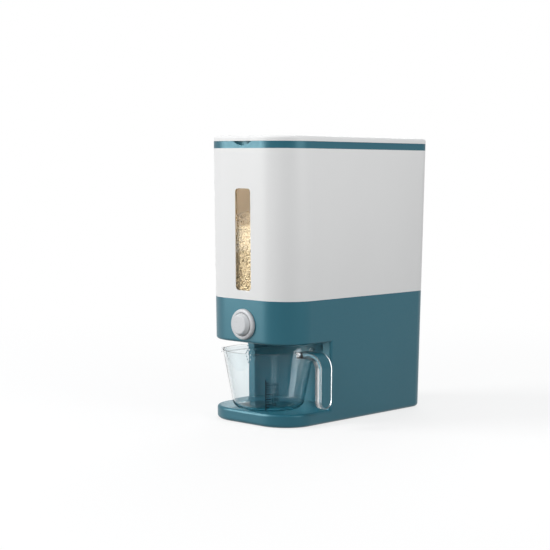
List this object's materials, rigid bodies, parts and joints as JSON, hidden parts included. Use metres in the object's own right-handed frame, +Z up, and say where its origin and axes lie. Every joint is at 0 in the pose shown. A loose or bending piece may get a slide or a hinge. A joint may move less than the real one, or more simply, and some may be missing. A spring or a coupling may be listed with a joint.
{
  "type": "rice dispenser",
  "caption": "Tall push-button rice dispenser: white tank with tinted window on a coloured housing, hinged lid, and a clear handled measuring cup in an open front niche.",
  "frame": {"origin": "On the resting plane, under the middle of the tank's plan outline; the rest_face mount lies 0.6 mm above it on the same axis.", "axes": "+X to the right seen from the front, towards the cup's handle; +Y to the back; +Z up."},
  "size_m": [0.1818, 0.3211, 0.381],
  "materials": {
    "teal_shell": "satin moulded plastic, teal blue",
    "dark_cover": "satin moulded plastic, darker teal",
    "white_shell": "satin moulded plastic, white",
    "inner_white": "plain moulded plastic, off-white",
    "button_white": "smooth moulded plastic, cool white",
    "clear_plastic": "polished clear plastic",
    "amber_window": "polished tinted clear plastic",
    "seal_rubber": "soft silicone rubber",
    "steel": "plain stainless steel"
  },
  "bodies": {
    "root": {"base_housing": "teal_shell", "bottom_cover": "dark_cover", "rubber_feet": "seal_rubber", "cover_screws": "steel", "tank_shell": "white_shell", "tank_screws": "steel", "hopper_funnel": "inner_white", "hopper_screws": "steel", "throat_seal": "seal_rubber", "window_pane": "amber_window", "window_seal": "seal_rubber", "top_collar": "teal_shell", "hinge_pins": "steel", "button_bezel": "button_white", "valve_housing": "inner_white", "housing_screws": "steel", "outlet_chute": "inner_white", "return_spring": "steel", "spring_guide": "steel"},
    "lid": {"lid_cover": "white_shell", "lid_inner": "inner_white", "lid_gasket": "seal_rubber"},
    "button": {"button_cap": "button_white", "push_rod": "inner_white", "rod_pin": "steel", "shutter_plate": "inner_white"},
    "cup": {"cup_body": "clear_plastic", "handle_insert": "teal_shell", "strainer_plate": "clear_plastic"}
  },
  "joints": [
    {"name": "lid_hinge", "type": "hinge", "parent": "root", "child": "lid", "pos_m": [0, 0.15686, 0.3737], "axis": [-1, 0, 0], "range_deg": [0, 100]},
    {"name": "button_press", "type": "slide", "parent": "root", "child": "button", "axis": [0, 1, 0], "range_m": [0, 0.01], "stiffness_N_per_m": 400, "springref_m": -0.01, "deforming": ["return_spring"]},
    {"name": "cup_slide", "type": "slide", "parent": "root", "child": "cup", "axis": [0, -1, 0], "range_m": [0, 0.17]}
  ]
}
